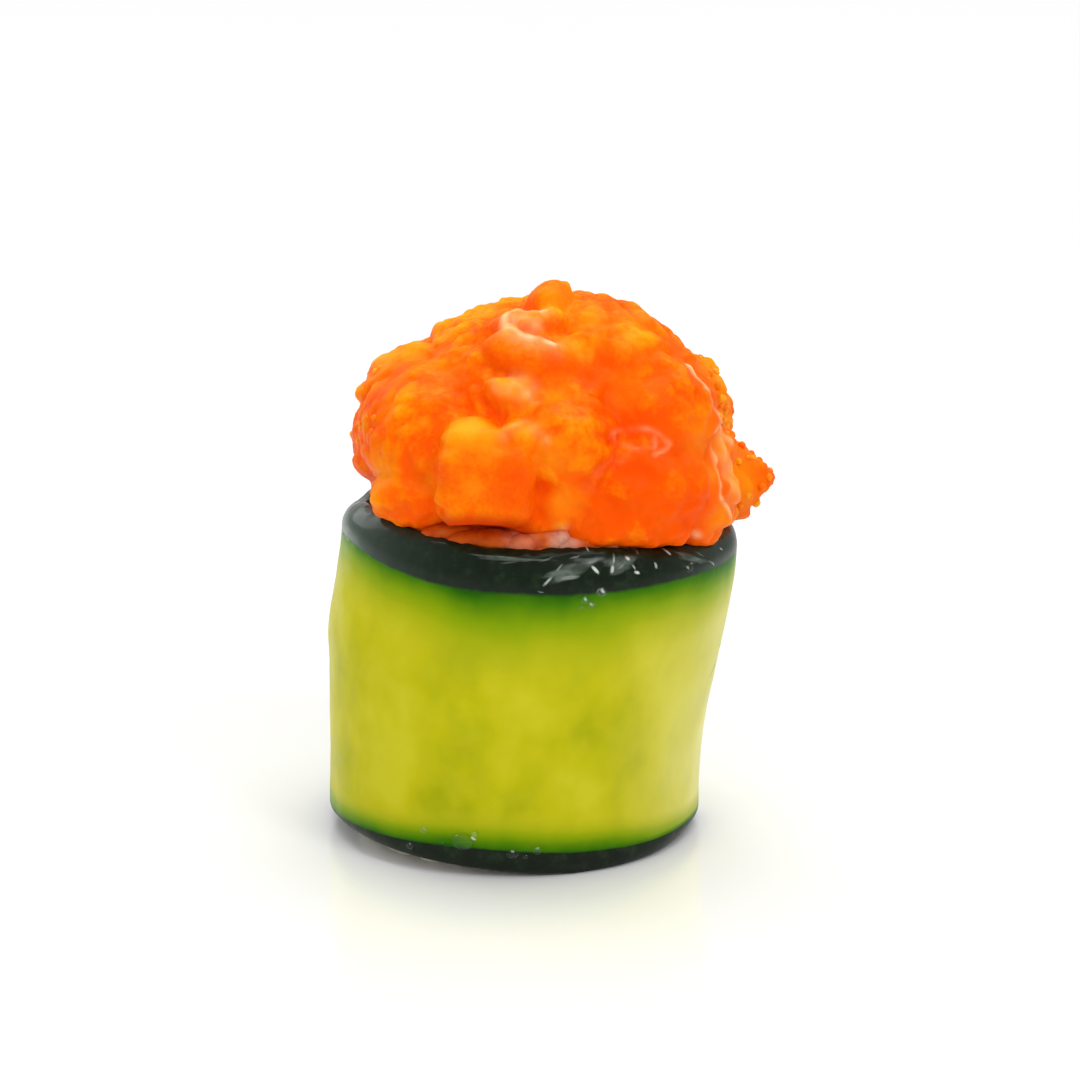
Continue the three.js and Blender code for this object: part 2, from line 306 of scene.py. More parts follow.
def add_bump(height, distance, strength, **normal):
    """Bumps of a height in millimetres, on top of a Normal if one is given."""
    sockets = {"Height": height, "Distance": distance * MM, "Strength": strength, **normal}
    return add_node(height.id_data, "ShaderNodeBump", sockets).outputs["Normal"]


# --- materials ---

def cucumber_finish():
    """Dark skin on the edges, greyed by a painted sheen where wet, green under the skin, and pale
    cloudy flesh further in.
    """
    material, tree = start_material("cucumber_flesh_and_skin")
    place = object_place(tree)
    under, wet_and_sheen = kept_value(tree, "under_skin"), kept_value(tree, "wet_and_sheen")
    clouds = add_noise(place, 8, roughness=0.55, stretch=(1, 1, 1.25))
    mottle = add_noise(place, 2.4)
    depth = calc("ADD", under, calc("MULTIPLY_ADD", clouds, 2.6, -1.3))
    flesh = colour_ramp(clouds, (0.34, 166, 170, 6), (0.45, 182, 181, 10), (0.54, 193, 188, 12),
                        (0.66, 203, 198, 34))
    flesh = mix_colours(remap(mottle, 0.42, 0.75, 0.0, 0.2), flesh, srgb(208, 202, 50))
    green = colour_ramp(remap(depth, 0.0, 7.0), (0.0, 32, 88, 0), (0.11, 70, 122, 0),
                        (0.3, 128, 158, 0), (0.52, 164, 174, 10), (0.75, 178, 181, 22),
                        (1.0, 190, 188, 28))
    inside = mix_colours(remap(depth, 3.2, 8.0), green, flesh)
    paling = calc("MULTIPLY", kept_value(tree, "pale"), remap(depth, 1.5, 6.0))
    inside = mix_colours(paling, inside, srgb(236, 230, 140))
    skin_noise = add_noise(place, 1.4, detail=4)
    skin = colour_ramp(skin_noise, (0.3, 8, 20, 8), (0.55, 15, 28, 13), (0.75, 32, 46, 28))
    # Where the skin is wet its colour is lightened to a grey green: a painted sheen.
    skin = mix_colours(calc("MULTIPLY", wet_and_sheen, 0.6), skin, srgb(74, 92, 80))
    edge = calc("ADD", under, calc("MULTIPLY_ADD", skin_noise, 0.3, -0.15))
    on_skin = remap(edge, 0.08, 0.34, 1.0, 0.0)
    normal = add_bump(add_noise(place, 0.5, stretch=(1, 1, 0.35)), 0.04, 0.5)
    return finish_material(material, {
        "Base Color": mix_colours(on_skin, inside, skin),
        "Roughness": remap(mottle, 0.3, 0.7, 0.28, 0.42),
        "Subsurface Weight": remap(on_skin, 0.0, 1.0, 0.35, 0.0),
        "Subsurface Radius": (0.9, 1.0, 0.2), "Subsurface Scale": 1.6 * MM,
        "Specular IOR Level": 0.06, "Coat Roughness": 0.14,
        "Coat Weight": calc("MULTIPLY", on_skin, remap(wet_and_sheen, 0, 1, 0.22, 0.6)),
        "Normal": add_bump(mottle, 0.10, 0.4, Normal=normal)})


def rice_finish():
    """Translucent cooked rice, stained by the sauce near the topping; at the front the dark stain
    is also painted shade under the topping.
    """
    material, tree = start_material("cooked_rice")
    place = object_place(tree)
    cloud = add_noise(place, 1.2, roughness=0.5)
    plain = colour_ramp(cloud, (0.35, 226, 216, 196), (0.65, 246, 240, 226))
    stained_and_shaded = colour_ramp(cloud, (0.35, 184, 66, 2), (0.65, 206, 92, 16))
    return finish_material(material, {
        "Base Color": mix_colours(kept_value(tree, "sauce_and_shade"), plain, stained_and_shaded),
        "Roughness": 0.4, "Subsurface Weight": 0.1, "Subsurface Radius": (1.0, 0.7, 0.4),
        "Subsurface Scale": 0.6 * MM, "Specular IOR Level": 0.1, "Coat Weight": 0.08,
        "Coat Roughness": 0.15,
        "Normal": add_bump(add_noise(place, 0.35, roughness=0.5), 0.05, 0.5)})


def topping_finish():
    """Seafood under an orange sauce, with painted light and shade in its colour: golden on lit
    tops and where it stands up, a deep red orange as painted shade in creases and under the chunk,
    and pale painted highlights along streaks, partly bare pale seafood."""
    material, tree = start_material("seafood_in_orange_sauce")
    place = object_place(tree)
    fine, blotch = add_noise(place, 0.8), add_noise(place, 2.6)
    speck = add_noise(place, 0.42, detail=2)
    shift = calc("MULTIPLY", calc("MULTIPLY_ADD", blotch, 0.5, -0.25),
                 remap(kept_value(tree, "calm"), 0, 1, 1.0, 0.35))
    tone_and_shade = kept_value(tree, "tone_and_shade")
    for change in (calc("MULTIPLY_ADD", fine, 0.28, -0.14),
                   remap(speck, 0.3, 0.7, -0.11, 0.11), shift):
        tone_and_shade = calc("ADD", tone_and_shade, change)
    orange = colour_ramp(tone_and_shade, (0.1, 250, 90, 0), (0.35, 251, 116, 0), (0.55, 252, 136, 2),
                         (0.75, 253, 152, 8), (1.0, 254, 168, 26))
    # Colours mixed over the tone: the deep orange is painted shade in creases, partly a redder
    # sauce; the golden one painted light on lit tops, partly a yellower sauce; the pale one
    # painted highlights, partly pale seafood; the dark red orange painted shade under the chunk.
    for title, tint in (("deep_shade", (246, 74, 0)), ("golden_light", (255, 168, 20)),
                        ("pale", (254, 208, 150)), ("sauce_and_shade", (206, 62, 0))):
        orange = mix_colours(kept_value(tree, title), orange, srgb(*tint))
    bumps = calc("ADD", fine, calc("MULTIPLY", speck, 0.4))
    return finish_material(material, {
        "Base Color": orange, "Roughness": remap(fine, 0.3, 0.7, 0.34, 0.48),
        "Subsurface Weight": 0.3, "Subsurface Radius": (1.0, 0.4, 0.1),
        "Subsurface Scale": 1.4 * MM, "Specular IOR Level": 0.03, "Coat Weight": 0.015,
        "Coat Roughness": 0.12, "Normal": add_bump(bumps, 0.12, 0.6)})


def roe_finish():
    """Small translucent eggs, each a little lighter or darker than the next."""
    material, tree = start_material("fish_roe")
    colour = colour_ramp(kept_value(tree, "shade"), (0.0, 252, 114, 0), (0.5, 253, 142, 4),
                         (1.0, 254, 166, 18))
    return finish_material(material, {
        "Base Color": colour, "Roughness": 0.3, "Subsurface Weight": 0.3,
        "Subsurface Radius": (1.0, 0.4, 0.1), "Subsurface Scale": 0.6 * MM,
        "Specular IOR Level": 0.08})


def water_finish():
    """Clear water whose skin is a little uneven."""
    material, tree = start_material("water")
    uneven = add_noise(object_place(tree), 0.5, detail=2, roughness=0.5)
    return finish_material(material, {
        "Base Color": (1, 1, 1, 1), "Roughness": 0.02, "IOR": 1.33, "Transmission Weight": 1.0,
        "Normal": add_bump(uneven, 0.05, 0.4)})


def painted_sheen_film_finish():
    """A thin film of juice whose grey colour is a painted sheen, fading out in patches."""
    material, tree = start_material("juice_film_painted_sheen")
    patch = add_noise(object_place(tree), 0.9, stretch=(1.6, 1.6, 0.8))
    thick = remap(patch, 0.4, 0.7, 0.12, 0.5)
    return finish_material(material, {
        "Base Color": srgb(112, 126, 114), "Roughness": 0.2,
        "Alpha": calc("MULTIPLY", thick, kept_value(tree, "cover")),
        "Coat Weight": 0.5, "Coat Roughness": 0.08})


def painted_glint_finish():
    """Pale painted glints, uneven in fine specks, that thin out towards the edge of each streak.
    """
    material, tree = start_material("painted_glints")
    bubbles = add_noise(object_place(tree), 0.25, detail=2, roughness=0.5)
    thick = remap(bubbles, 0.3, 0.6, 0.7, 1.0)
    return finish_material(material, {
        "Base Color": srgb(206, 216, 206), "Roughness": 0.25,
        "Alpha": calc("MULTIPLY", kept_value(tree, "cover"), thick)})


def floor_finish():
    """A pale floor, polished unevenly enough to blur what it mirrors."""
    material, tree = start_material("pale_floor")
    smear = add_noise(object_place(tree), 60, detail=2, roughness=0.5)
    return finish_material(material, {
        "Base Color": (0.9, 0.9, 0.9, 1), "Roughness": remap(smear, 0.3, 0.7, 0.08, 0.13),
        "Specular IOR Level": 0.5, "Coat Weight": 0.25, "Coat Roughness": 0.08})


# --- the cucumber ribbon ---

def hump(angle, bearing, power):
    """1 at a bearing in degrees, falling to 0 a quarter turn away: a power of the cosine."""
    return np.maximum(0, np.cos(angle - math.radians(bearing))) ** power


def drum_radius(angle, height):
    """The radius of the outer face: a drum that flares out on the right, leans in at the top
    on the left, and is a little uneven."""
    uneven = 0.12 * np.sin(3 * angle + 2.2) + 0.06 * np.sin(5 * angle + height / 9)
    return (BASE_RADIUS + uneven + RIGHT_FLARE * hump(angle, 0, 1.6) * smooth_step(4, 29, height)
            - LEFT_LEAN * hump(angle, 180, 1.3) * smooth_step(18, 29, height))


def rim_swell(angle):
    """Where the rim swells on the front right."""
    return RIM_SWELL * hump(angle, -64, 18)


def rim_height(angle):
    """The rim rises towards the left, dips behind the left end, and has its swell."""
    return (RIM_HEIGHT - RIM_DROP * np.cos(angle) - LEFT_DIP * hump(angle, 162, 8)
            + rim_swell(angle))


def top_skin(angle):
    """The band of skin along the rim is tallest on the front left, and grows with the swell."""
    return (TOP_SKIN_LEAST + (TOP_SKIN - TOP_SKIN_LEAST) * hump(angle, -115, 3)
            + 1.6 * rim_swell(angle))


def foot_height(angle):
    """The edge on the plate, lifted on the left and a little on the right."""
    return HEEL_LIFT * hump(angle, 200, 1.2) + RIGHT_LIFT * hump(angle, -6, 7)


def bottom_skin(angle):
    """The band of skin along the foot is tallest at the front and at the back."""
    near = np.abs(np.cos(angle + math.radians(82))) ** 1.7
    return BOTTOM_SKIN_LEAST + (BOTTOM_SKIN - BOTTOM_SKIN_LEAST) * near


def layer_inset(turn):
    """How far a layer lies inside the drum after a turn measured from the outer end."""
    return LAYER_STEP * smooth_step(FULL_TURN - LAP_RUN, FULL_TURN - 0.04, turn)


def inner_face(angle, height):
    """The radius of the innermost layer's inner face: the drum's, less the inset of whichever
    layer lies furthest in and the thickness."""
    turn = np.mod(OUTER_END - angle, FULL_TURN)
    past_end = 1 - smooth_step(OVERLAP, OVERLAP + INNER_END_RUN, turn)
    inset = np.maximum(layer_inset(turn), LAYER_STEP * past_end)
    return drum_radius(angle, height) - inset - RIBBON_THICKNESS


def ribbon_section(face_rows, band_rows):
    """The closed cross-section: up the outer side, whose two bands of skin are quarter rounds,
    across the top, down the inner side, which has a point for each outer one, and across the
    bottom. Its columns are depth, share of the height from foot to rim, height added to that,
    share of the top skin's height taken off, and share of the bottom skin's height added."""
    bend = np.linspace(0, math.pi / 2, band_rows)
    low = side_by_side(BOTTOM_SKIN_INSET * (1 - np.sin(bend)), 0, 0, 0, 1 - np.cos(bend))
    up = np.linspace(0, 1, face_rows)[1:-1]
    face = side_by_side(0, up, 0, up, 1 - up)
    bend = np.linspace(0, math.radians(82), band_rows)
    high = side_by_side(RIBBON_THICKNESS * (1 - np.cos(bend)), 1, 0, 1 - np.sin(bend), 0)
    outer = np.concatenate([low, face, high])
    level = np.linspace(0, 1, len(outer))
    inner = side_by_side(RIBBON_THICKNESS, level, 0.12 - 0.24 * level, 0, 0)
    over = np.linspace(0, 1, CROSS_STEPS + 1)[1:-1, None]
    top = outer[-1] * (1 - over) + inner[-1] * over
    bottom = inner[0] * (1 - over) + outer[0] * over
    return np.concatenate([outer, top, inner[::-1], bottom]), len(outer)


def skin_distance(angle, depth, height, foot, rim, skin):
    """How far a point of the slice lies from the nearer skin: its drop from that skin's quarter
    round at the same depth, less at the front, where the green goes deepest. Above the lower
    skin the flesh is a brighter green, most on the right."""
    top_curve = rim - skin * quarter_round(1 - np.clip(depth / RIBBON_THICKNESS, 0, 1))
    low_round = quarter_round(1 - np.clip(depth / BOTTOM_SKIN_INSET, 0, 1))
    above_low = height - (foot + bottom_skin(angle) * low_round)
    away = np.degrees(angle) % 360 - GREENEST_BEARING
    bright = 0.25 + 1.1 * smooth_step(20, 65, away)
    above_low = (above_low + bright * smooth_step(0.05, 0.4, above_low)
                 + 0.8 * np.maximum(above_low - 0.8, 0) ** 1.35)
    front = bell(away, 0, np.where(away < 0, 45, 62))
    return np.clip(np.minimum(0.75 * (top_curve - height), above_low), 0, 12) * (1.6 - 0.6 * front)


def make_ribbon():
    """The section carried once round and under its own outer end: the radius at each point is
    the drum's, less the layer's inset and the point's depth. Both cut ends are flat grids."""
    section, outer_count = ribbon_section(face_rows=56, band_rows=13)
    depth, share, added, top_share, low_share = section.T
    turn_steps = 420
    turns = np.linspace(0, FULL_TURN + OVERLAP, turn_steps)[:, None]
    angle = OUTER_END - turns
    foot, rim, skin = foot_height(angle), rim_height(angle), top_skin(angle)
    height = (foot + (rim - foot) * share + added - skin * top_share
              + bottom_skin(angle) * low_share)
    points = round_axis(drum_radius(angle, height) - layer_inset(turns) - depth, angle, height)
    flat = points.reshape(-1, 3)
    ripple = 0.10 * soft_noise(flat, 5.5, 3) + 0.03 * soft_noise(flat, 1.7, 4)
    ripple = ripple.reshape(height.shape) * smooth_step(1.2, 0.2, depth)
    ragged = 0.13 * soft_noise(flat, 0.9, 6).reshape(height.shape)
    points = points + round_axis(1, angle, 0) * ripple[..., None]
    points[..., 2] += ragged * smooth_step(0.9, 0.2, rim - height)
    under = skin_distance(angle, depth, height, foot, rim, skin)
    parts, values = [points.reshape(-1, 3)], [under.ravel()]
    faces = [ring_faces(turn_steps, len(section))]
    for row, turned in ((0, True), (turn_steps - 1, False)):
        sides, extra, value = end_grid(points[row], under[row], outer_count,
                                       row * len(section), sum(map(len, parts)), turned)
        parts.append(extra)
        values.append(value)
        faces.append(sides)
    everywhere = np.concatenate(parts)
    piece = make_piece("cucumber_ribbon", everywhere, np.concatenate(faces), cucumber_finish(),
                       {"under_skin": np.concatenate(values),
                                    "wet_and_sheen": wetness_and_sheen(everywhere), "pale": paleness(everywhere)})
    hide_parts("cucumber_wrap")


def end_grid(ring, under, outer_count, first, after, turned):
    """A cut end: points on straight lines from each point of the outer side to its fellow on the
    inner side. The ring's points are numbered from first, and the added ones from after."""
    outer, between = np.arange(outer_count), np.arange(CROSS_STEPS - 1)
    inner = outer_count + len(between) + outer[::-1]
    over = np.linspace(0, 1, CROSS_STEPS + 1)[1:-1]
    middle = (ring[outer][1:-1, None] * (1 - over)[:, None]
              + ring[inner][1:-1, None] * over[:, None])
    value = under[outer][1:-1, None] * (1 - over) + under[inner][1:-1, None] * over
    index = np.empty((outer_count, CROSS_STEPS + 1), dtype=int)
    index[:, 0], index[:, -1] = first + outer, first + inner
    index[-1, 1:-1] = first + outer_count + between
    index[0, 1:-1] = first + len(ring) - 1 - between
    index[1:-1, 1:-1] = after + np.arange(value.size).reshape(value.shape)
    faces = quads(index)
    return (faces if turned else faces[:, ::-1]), middle.reshape(-1, 3), value.ravel()


def wetness_and_sheen(points):
    """How wet the skin is, which sets its gloss and a painted sheen that greys its colour: most at
    the left end and on the front right of the rim.
    """
    angle = np.degrees(bearing_of(points)) % 360
    left = smooth_step(165, 185, angle) * bell(angle, 190, 38)
    right = 0.4 * bell(angle, 338, 16)
    return np.maximum(left, right) * smooth_step(8, 16, points[:, 2])


def paleness(points):
    """How pale the flesh is: it pales towards the right end, more in some places than others."""
    angle = np.degrees(bearing_of(points)) % 360
    end = smooth_step(292, 358, angle) ** 1.3 + smooth_step(40, 0, angle)
    low = 0.7 + 0.35 * smooth_step(24, 10, points[:, 2])
    return np.clip(0.75 * end * low * (1 + 0.5 * soft_noise(points, 5.0, 21)), 0, 1)


# --- the rice ---

def make_rice_core(material):
    """Rings of points out under the bottom, up the inside of the ribbon at a gap from it, and
    in over the top. The bottom and the top are rough with rounded grains."""
    angle = full_ring(220)
    top = rim_height(angle) - RICE_BELOW_RIM - RICE_MARGIN
    height = RICE_MARGIN + (top - RICE_MARGIN) * np.linspace(0, 1, 24)[:, None]
    side = round_axis(inner_face(angle, height) - SIDE_GAP, angle, height)
    shares = np.linspace(1, 0.01, 44)[1:, None, None]
    over, under = side[-1] * shares, side[0] * shares[::-1]
    over[..., 2] = side[-1][..., 2] + RICE_CROWN * (1 - shares[..., 0])
    under[..., 2] = RICE_MARGIN
    rings = np.concatenate([under, side, over])
    points = rings.reshape(-1, 3)
    lumps = bead_relief(points, 2.6, 8)
    shown = bell(points[:, 0], -3, 8) * smooth_step(-8, -11, points[:, 1])
    points[:, 2] += np.where(points[:, 2] > RIM_HEIGHT - 3, 0.6 * lumps + 0.5 * shown, 0)
    points[:, 2] -= np.where(points[:, 2] < RICE_MARGIN + 0.1, 0.45 * lumps, 0)
    points, faces = close_poles(points.reshape(rings.shape))
    piece = make_piece("rice_core", points, faces, material, {"sauce_and_shade": sauce_and_shade_of(points)})
    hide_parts("rice")


def sauce_and_shade_of(points):
    """How far sauce has coloured the rice, with painted shade: wholly at the front of the rim,
    where the dark colour also stands for the shade under the topping, but for two pale grains, one
    of them a painted glint; in patches further round, and not at all underneath."""
    x, y, z = points.T
    near = bell(x, -2, 11, 4) * smooth_step(2, -6, y)
    patch = 0.5 + 0.5 * soft_noise(points, 2.6, 5)
    pale = 0.1 * bell(x, 0.7, 1.4, 4) + 0.35 * bell(x, 4.7, 1.0, 4)
    sauce = np.clip(0.3 + near + 0.4 * patch - pale * near, 0, 1 - pale * near)
    return smooth_step(26, 29.5, z) * sauce


def make_grain(around, along):
    """One grain along X: circles whose radius follows a blunt arch, a little fuller at one end,
    on a middle line that is slightly bowed."""
    spin = full_ring(around)
    place = -np.cos(np.linspace(0.3, math.pi - 0.3, along))[:, None]
    fat = (1 - np.abs(place) ** 2.6) ** 0.5 * (1 + 0.08 * place)
    return close_poles(side_by_side(place, fat * np.cos(spin),
                                    fat * np.sin(spin) - 0.12 * place ** 2))


def turn_about(axis, angles):
    """Matrices that turn points about X, Y or Z, one for each angle."""
    first, second = [(1, 2), (2, 0), (0, 1)][axis]
    turns = np.zeros((len(angles), 3, 3))
    turns[:, axis, axis] = 1
    turns[:, first, first] = turns[:, second, second] = np.cos(angles)
    turns[:, first, second] = -np.sin(angles)
    turns[:, second, first] = np.sin(angles)
    return turns


def scattered(shape, faces, places, turns, sizes):
    """Copies of one shape, each sized, turned and put in its place, as one array of points."""
    points = np.einsum("nij,nkj->nki", turns, shape[None] * sizes[:, None, :]) + places[:, None, :]
    offsets = np.arange(len(places))[:, None, None] * len(shape)
    return points.reshape(-1, 3), (faces[None] + offsets).reshape(-1, faces.shape[1])


def make_rice_grains(material):
    """Loose grains in three rows inside the rim, lying mostly along it, but for the left, where
    the topping covers it, and grains pressed flat under the rice."""
    draw = np.random.default_rng(71)
    rim_count, under_count, under_reach, lowest = 132, 120, 13.0, 0.03
    angle = FULL_TURN * (np.arange(rim_count) + 0.6 * draw.random(rim_count)) / rim_count
    row = np.arange(rim_count) % 3
    reach = inner_face(angle, RIM_HEIGHT) - 1.0 - 1.5 * row
    lift = rim_height(angle) - 0.25 + 0.35 * row + 0.5 * draw.random(rim_count)
    rim_turn = angle + math.pi / 2 + (draw.random(rim_count) - 0.5) * np.where(row == 0, 0.9, 2.6)
    shown = (angle < math.radians(150)) | (angle > math.radians(225))
    step = np.arange(under_count) + 0.5
    under_places = round_axis(under_reach * np.sqrt(step / under_count), step * GOLDEN_ANGLE,
                              1.0 + 0.2 * draw.random(under_count))
    under_turn = draw.random(under_count) * math.pi
    places = np.concatenate([round_axis(reach, angle, lift)[shown], under_places])
    count = len(places)
    tilt = (draw.random(count) - 0.5) * 0.5
    turns = turn_about(2, np.concatenate([rim_turn[shown], under_turn])) @ turn_about(1, tilt)
    sizes = np.stack([GRAIN_LENGTH / 2 * (0.82 + 0.3 * draw.random(count)),
                      GRAIN_WIDTH / 2 * (0.88 + 0.2 * draw.random(count)),
                      GRAIN_WIDTH / 2.3 * (0.88 + 0.2 * draw.random(count))], axis=1)
    points, faces = scattered(*make_grain(around=8, along=7), places, turns, sizes)
    points[:, 2] = np.maximum(points[:, 2], lowest)
    make_piece("rice_grains", points, faces, material, {"sauce_and_shade": sauce_and_shade_of(points)})


# --- the topping ---

# Each lump is its place, its three half sizes, its roll about Y, and how boxy it is: 2 for an
# ellipsoid, which is left out, and more for squarer sides.
LUMPS = {
    "heart": (3.0, 0.4, 37.8, 14.7, 12.6, 11.7, 0),
    "base": (2.6, 0.2, 32.6, 15.4, 14.3, 5.8, 0),
    "left_crown": (-8.5, -0.6, 41.0, 5.5, 6.6, 4.6, 0.3),
    "left_shoulder": (-7.4, -4.0, 38.7, 6.7, 7.8, 6.1, 0.3),
    "left_cheek": (-10.4, 1.2, 36.2, 4.5, 6.0, 4.7, 0),
    "left_foot": (-8.2, -8.6, 33.8, 4.8, 4.3, 3.2, 0),
    "chunk": (-2.4, -12.3, 36.3, 4.6, 4.2, 4.0, 0.04, 4),
    "chunk_dome": (-3.6, -12.7, 39.4, 2.9, 3.0, 2.5, 0.1, 2.6),
    "chunk_ridge": (1.0, -12.4, 39.9, 2.6, 2.6, 1.8, -0.5, 2.6),
    "middle": (4.9, -10.8, 39.4, 4.6, 5.2, 4.7, -0.2),
    "middle_foot": (5.0, -12.2, 34.2, 3.5, 3.0, 3.5, 0.1),
    "front_foot": (8.6, -11.0, 32.0, 7.0, 3.4, 2.7, 0.02),
    "peach": (0.2, -8.9, 43.7, 3.0, 2.2, 1.3, -0.4),
    "roll": (1.9, -6.7, 46.3, 4.6, 3.0, 2.1, -0.25),
    "fold": (1.6, -4.1, 48.4, 3.4, 2.4, 1.4, 0.05),
    "apex": (3.4, -0.4, 49.2, 2.1, 2.6, 2.7, 0),
    "apex_right": (6.6, -0.6, 48.0, 2.4, 2.8, 2.0, -0.4),
    "crest": (10.9, -1.2, 44.3, 7.7, 7.2, 4.2, -0.66),
    "right_shoulder": (14.9, -0.8, 40.4, 4.6, 5.0, 4.6, -0.4),
    "right_brow": (12.8, -4.0, 39.8, 6.2, 7.2, 6.3, -0.5),
    "right_back": (14.6, 2.4, 37.7, 5.5, 6.0, 5.4, -0.4),
    "right_cheek": (11.8, -9.5, 34.8, 6.0, 4.9, 4.8, 0.2),
    "right_toe": (12.2, -9.9, 31.8, 4.4, 3.5, 2.6, 0.05),
    "right_foot": (15.6, -5.0, 32.5, 4.8, 5.9, 4.6, 0.1),
    "right_flap": (16.6, -3.4, 36.4, 3.5, 4.6, 3.6, 0),
    "right_roe": (19.3, 2.2, 31.9, 3.8, 3.8, 3.8, 0.3),
    "right_roe_tip": (22.2, 1.6, 32.2, 1.8, 1.9, 1.7, 0),
    "back_left": (-5.2, 8.6, 38.4, 6.4, 5.4, 5.6, 0.2),
    "back_left_foot": (-6.4, 10.2, 33.6, 4.2, 4.0, 3.4, 0),
    "back_middle": (2.6, 12.0, 37.2, 4.8, 3.9, 4.6, -0.1),
    "back_cap": (-1.2, 6.6, 42.2, 4.4, 4.2, 2.8, 0.3),
    "back_right": (9.4, 9.8, 38.0, 5.4, 5.0, 5.4, -0.3),
    "back_right_foot": (10.6, 10.6, 33.4, 4.4, 3.8, 3.2, 0),
    "back_crest": (6.8, 5.6, 45.2, 4.8, 4.4, 3.4, -0.4),
}

# The hollow under the chunk where the rice shows over the rim.
RICE_WINDOW = (-3.3, -17.2, 29.8, 6.9, 5.8, 3.5, 0)


def lump_distance(points, lump):
    """About the distance to a lump: a measure less one, over the measure's steepness. The
    measure is the p-th root of the sum of the p-th powers of the offsets over the half sizes,
    with p the boxiness."""
    x, y, z, half_x, half_y, half_z, roll, *boxy = lump
    power = boxy[0] if boxy else 2.0
    across, up = points[:, 0] - x, points[:, 2] - z
    local = np.abs(np.stack([(across * math.cos(roll) + up * math.sin(roll)) / half_x,
                             (points[:, 1] - y) / half_y,
                             (up * math.cos(roll) - across * math.sin(roll)) / half_z], axis=1))
    near = np.maximum((local ** power).sum(axis=1), 1e-9) ** (1 / power)
    slope = local ** (power - 1) / (half_x, half_y, half_z)
    steep = np.sqrt((slope ** 2).sum(axis=1)) / near ** (power - 1)
    return (near - 1) / np.maximum(steep, 1e-6)


def blend_distance(first, second, width):
    """The lesser of two distances, rounded where they are closer than width."""
    share = np.maximum(width - np.abs(first - second), 0) / width
    return np.minimum(first, second) - share * share * width / 4


def crags(points):
    """Low crags left by the chopping."""
    x, y, z = points.T
    broad = np.sin(0.9 * x + 1.1 * np.sin(0.7 * z)) * np.sin(z + y)
    fine = np.sin(1.7 * y + 0.8 * x + 2) * np.sin(1.9 * z - x)
    return CRAG_DEPTH * (0.6 * broad + 0.4 * fine)


def heap_distance(points, blend=LUMP_BLEND):
    """The distance to the heap's skin, less than zero inside: all lumps blended, with crags,
    less the hollow where the rice shows."""
    distance = np.full(len(points), HEAP_REACH)
    for lump in LUMPS.values():
        distance = blend_distance(distance, lump_distance(points, lump), blend)
    return np.maximum(distance + crags(points), -lump_distance(points, RICE_WINDOW))


def heap_skin(directions):
    """Where the skin lies along each direction from the heap's centre, found by stepping
    inwards from outside by a share of the distance left."""
    most_steps, step_share, close_enough = 70, 0.7, 0.01
    reach = np.full(len(directions), HEAP_REACH)
    active = np.arange(len(directions))
    for _ in range(most_steps):
        distance = heap_distance(HEAP_CENTRE + directions[active] * reach[active, None])
        reach[active] -= step_share * distance
        active = active[distance > close_enough]
        if len(active) == 0:
            break
    return HEAP_CENTRE + directions * reach[:, None]


def on_skin(bearing, lift):
    """Points on the heap's skin, from bearings and lifts in degrees seen from its centre."""
    bearing, lift = np.radians(bearing), np.radians(lift)
    return heap_skin(round_axis(np.cos(lift), bearing, np.sin(lift)))


def patches(points, spots):
    """A value from 0 to 1 that fades out round each spot as a bell curve."""
    spots = np.array(spots, dtype=float)
    middles = on_skin(spots[:, 0], spots[:, 1])
    value = np.zeros(len(points))
    for middle, radius, strength in zip(middles, spots[:, 2], spots[:, 3]):
        gap = ((points - middle) ** 2).sum(axis=1)
        value = np.maximum(value, strength * np.exp(-gap / radius ** 2))
    return value


def stroke(points, line, width):
    """As patches, round a line laid over the skin: the value falls off with the distance to the
    nearest stretch of the line."""
    nearest = np.full(len(points), 1e6)
    ends = on_skin(*line)
    for start, end in zip(ends[:-1], ends[1:]):
        along = end - start
        share = np.clip(((points - start) @ along) / (along @ along), 0, 1)
        nearest = np.minimum(nearest, ((points - start - share[:, None] * along) ** 2).sum(axis=1))
    return np.exp(-nearest / width ** 2)


# Spots of colour on the skin: bearing and lift in degrees, radius in millimetres and strength. The
# golden ones are painted light on lit tops, partly a yellower sauce.
GOLDEN_LIGHT_SPOTS = [
    (-116, 20, 2.4, 1), (-109, 18, 2, 0.7), (-96, 21, 1.6, 0.6), (-176, 32, 2.2, 0.7),
    (-172, 38, 1.8, 0.6), (-157, 28, 1.6, 0.15), (-151, 22, 1.3, 0.15), (-134, 19, 0.6, 0.6),
    (-146, -1, 2, 0.6), (-101, 37, 1.7, 0.7), (-61, 78, 2.2, 0.6), (-49, 66, 1.8, 0.6),
    (-33, 52, 2.6, 0.5), (-85, 36, 1.8, 0.55), (-68, 57, 1.8, 0.5), (-53, 57, 1.6, 0.4),
    (-84, -12, 0.9, 0.5), (-111, 3, 1.2, 0.35), (-107, 41, 0.9, 0.8), (-108, 34, 1.4, 0.9),
    (-98, 33.5, 1.3, 0.8), (-91, 24.5, 1.1, 0.4), (-88, 11, 2, 0.5), (-150, 43, 2.2, 0.3),
    (-131, 1, 1.8, 0.5), (-84, -4, 1.8, 0.5), (-50, 35, 2, 0.3), (-6, -12, 3.2, 0.8),
    (10, -4, 2.6, 0.5), (-20, 5, 1.7, 0.7), (-19, -6, 1.7, 0.7), (-29, -13, 1.8, 0.5),
    (-33, 12, 2.2, 0.4), (-30, 0, 1.8, 0.4), (0, 22, 3.4, 0.9), (-2, 8, 2.4, 0.7),
    (20, 50, 2.6, 0.5), (70, 40, 3, 0.5), (130, 30, 2.8, 0.5), (95, 10, 2.4, 0.4),
    (160, 15, 2.4, 0.5), (40, 20, 2.2, 0.4)]
